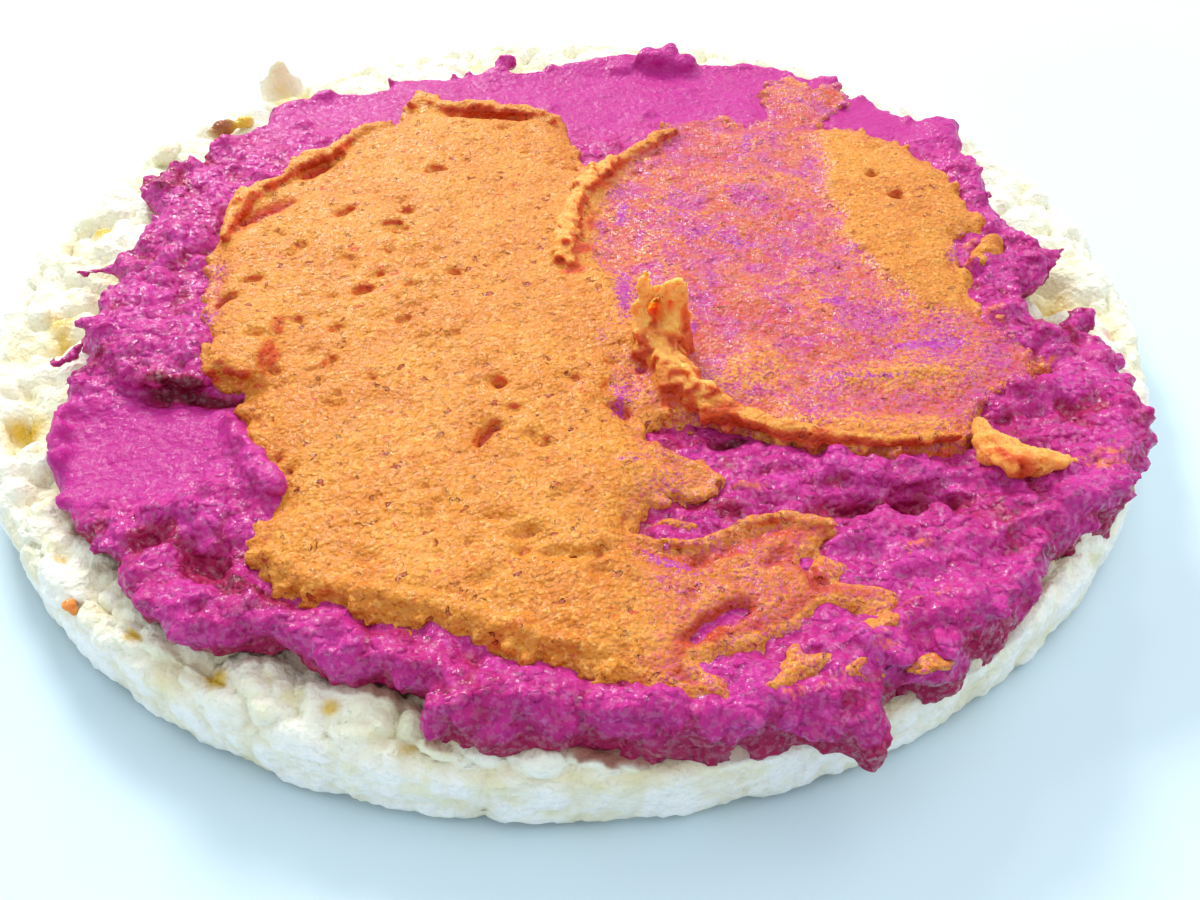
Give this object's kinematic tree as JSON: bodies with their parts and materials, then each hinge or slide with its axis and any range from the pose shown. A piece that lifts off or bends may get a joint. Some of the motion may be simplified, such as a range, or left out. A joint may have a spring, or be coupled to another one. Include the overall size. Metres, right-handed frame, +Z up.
{
  "type": "puffed rice cake with two spreads",
  "caption": "Thin round puffed rice cake topped with a thick craggy pink spread and a thinner orange spread on it.",
  "frame": {"origin": "on the surface the cake rests on, under the middle of the round", "axes": "+Z up through the layers, +Y away from the viewer of the picture, +X to the viewer's right"},
  "size_m": [0.0947, 0.0948, 0.016],
  "materials": {
    "puffed_rice": "matte, glassy in the creases between puffed grains",
    "pink_paste": "moist paste, softly glossy",
    "orange_paste": "moist grainy paste, satin with fine sparkle"
  },
  "bodies": {
    "root": {"rice_cake": "puffed_rice", "pink_spread": "pink_paste", "orange_spread": "orange_paste", "orange_dab": "orange_paste"}
  },
  "joints": []
}
